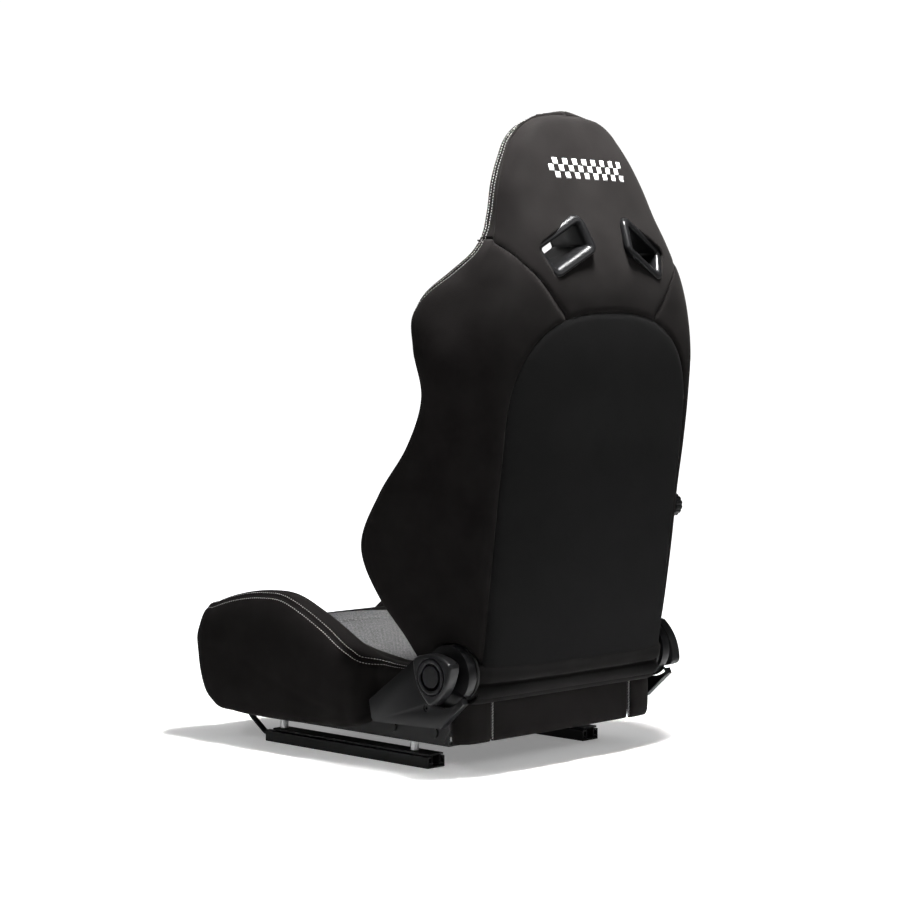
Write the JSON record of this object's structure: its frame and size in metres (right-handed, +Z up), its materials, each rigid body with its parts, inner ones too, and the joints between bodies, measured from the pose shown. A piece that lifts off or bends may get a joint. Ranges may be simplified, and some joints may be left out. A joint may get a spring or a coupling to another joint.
{
  "type": "reclining sport seat",
  "caption": "Reclining upholstered sport seat with bolstered back, harness holes, recline knobs, lumbar knob and floor slider rails.",
  "frame": {"origin": "centre of the four floor bolt holes of the lower slider rails, on the plane the rails stand on", "axes": "+Z up, the seat faces -Y, +X towards the sitter's left side"},
  "size_m": [0.5142, 0.6566, 0.948],
  "materials": {
    "suede_black": "matte",
    "knit_black": "matte",
    "woven_grey": "matte",
    "satin_plastic": "satin",
    "nylon": "satin",
    "rail_black": "satin",
    "frame_black": "satin",
    "bar_black": "satin",
    "zinc_steel": "satin",
    "bright_steel": "polished",
    "plate_steel": "satin",
    "spring_wire": "satin"
  },
  "bodies": {
    "floor_rails": {"lower_rail_left": "rail_black", "lower_rail_right": "rail_black", "rail_stops": "rail_black"},
    "slider_release": {"towel_bar": "bar_black", "latch_lever_left": "zinc_steel", "latch_lever_right": "zinc_steel"},
    "recline_drive": {"recline_shaft": "zinc_steel", "recline_knob_left": "satin_plastic", "recline_knob_right": "satin_plastic", "knob_caps": "satin_plastic"},
    "lumbar_drive": {"lumbar_shaft": "zinc_steel", "lumbar_cams": "satin_plastic", "lumbar_knob": "satin_plastic"},
    "lumbar_support": {"lumbar_plate": "plate_steel"},
    "backrest": {"back_arm_left": "frame_black", "back_arm_right": "frame_black", "back_hoop": "frame_black", "back_cross_tube": "frame_black", "head_frame": "frame_black", "back_springs": "spring_wire", "back_insert": "woven_grey", "back_wing_left": "suede_black", "back_wing_right": "suede_black", "back_rear_panel": "knit_black", "head_section": "suede_black", "harness_bezel_rear_left": "satin_plastic", "harness_bezel_rear_right": "satin_plastic", "harness_bezel_front_left": "satin_plastic", "harness_bezel_front_right": "satin_plastic", "rear_gusset": "suede_black", "lumbar_crossbar": "frame_black"},
    "seat_base": {"arm_bolts": "zinc_steel", "base_arm_left": "frame_black", "base_arm_right": "frame_black", "cover_screws": "zinc_steel", "frame_side_left": "frame_black", "frame_side_right": "frame_black", "front_cross_tube": "frame_black", "latch_pins": "zinc_steel", "latch_springs": "zinc_steel", "rail_glides": "nylon", "rear_cross_tube": "frame_black", "rear_skirt": "suede_black", "recliner_disc_left": "bright_steel", "recliner_disc_right": "bright_steel", "seat_bolts": "zinc_steel", "seat_cushion": "woven_grey", "seat_nuts": "zinc_steel", "seat_spacers": "zinc_steel", "seat_springs": "spring_wire", "side_cover_left": "satin_plastic", "side_cover_right": "satin_plastic", "thigh_bolster_left": "suede_black", "thigh_bolster_right": "suede_black", "thigh_roll": "suede_black", "upper_rail_left": "rail_black", "upper_rail_right": "rail_black"}
  },
  "joints": [
    {"name": "seat_slide", "type": "slide", "parent": "floor_rails", "child": "seat_base", "axis": [0, 1, 0], "range_m": [-0.09, 0.09]},
    {"name": "release_lift", "type": "hinge", "parent": "seat_base", "child": "slider_release", "pos_m": [0.17, -0.105, 0.009], "axis": [-1, 0, 0], "range_deg": [0, 4.5], "stiffness_Nm_per_rad": 8, "springref_deg": -6.88},
    {"name": "recline", "type": "hinge", "parent": "seat_base", "child": "backrest", "pos_m": [0, 0.251, 0.148], "axis": [-1, 0, 0], "range_deg": [-12, 60], "deforming": ["rear_gusset"]},
    {"name": "recline_knob_turn", "type": "hinge", "parent": "seat_base", "child": "recline_drive", "pos_m": [0, 0.251, 0.148], "axis": [-1, 0, 0], "range_deg": [-432, 2160]},
    {"name": "lumbar_push", "type": "slide", "parent": "backrest", "child": "lumbar_support", "axis": [0, -1, 0], "range_m": [0, 0.015]},
    {"name": "lumbar_knob_turn", "type": "hinge", "parent": "backrest", "child": "lumbar_drive", "pos_m": [0, 0.287, 0.369], "axis": [-1, 0, 0], "range_deg": [0, 180]}
  ],
  "couplings": [
    {"joint": "recline_knob_turn", "follows": "recline", "ratio": 36},
    {"joint": "lumbar_knob_turn", "follows": "lumbar_push", "rad_per_m": 209.44}
  ]
}
